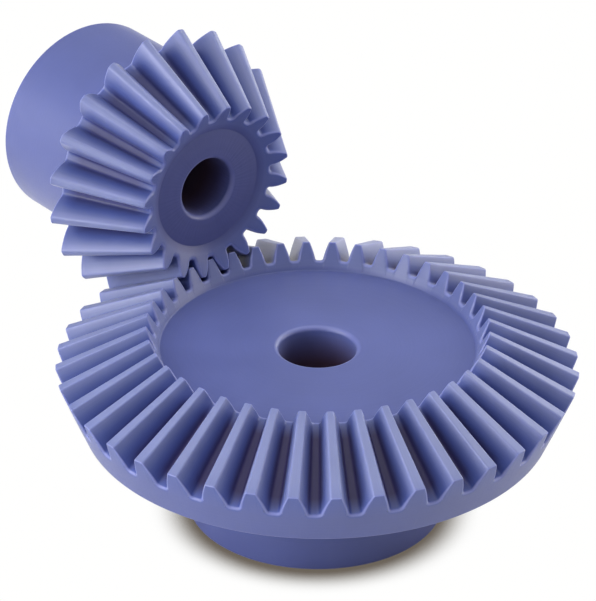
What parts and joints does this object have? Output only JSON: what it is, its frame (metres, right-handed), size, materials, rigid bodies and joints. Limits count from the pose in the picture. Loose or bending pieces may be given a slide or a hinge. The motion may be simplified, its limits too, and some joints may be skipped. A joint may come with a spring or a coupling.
{
  "type": "bevel gear pair",
  "caption": "Straight-tooth bevel wheel and smaller pinion in mesh at right angles, each with a hub and a plain shaft bore, to turn a drive round a corner.",
  "frame": {"origin": "on the wheel's axis, at the back face of its hub", "axes": "+Z along the wheel's axis towards its teeth, +X along the pinion's axis from its hub towards the wheel's axis; the pinion lies on -X"},
  "size_m": [0.1252, 0.1012, 0.0838],
  "materials": {
    "gear_nylon": "satin, as turned and hobbed",
    "pinion_nylon": "satin, as turned and hobbed",
    "washer_steel": "bright rolled shim"
  },
  "bodies": {
    "mounting": {"gear_thrust_washer": "washer_steel", "pinion_thrust_washer": "washer_steel"},
    "wheel": {"bevel_gear": "gear_nylon"},
    "pinion": {"bevel_pinion": "pinion_nylon"}
  },
  "joints": [
    {"name": "gear_spin", "type": "hinge", "parent": "mounting", "child": "wheel", "pos_m": [0, 0, 0], "axis": [0, 0, 1], "continuous": true},
    {"name": "pinion_spin", "type": "hinge", "parent": "mounting", "child": "pinion", "pos_m": [-0.074, 0, 0.0555], "axis": [1, 0, 0], "continuous": true}
  ],
  "couplings": [
    {"joint": "pinion_spin", "follows": "gear_spin", "ratio": -2}
  ]
}
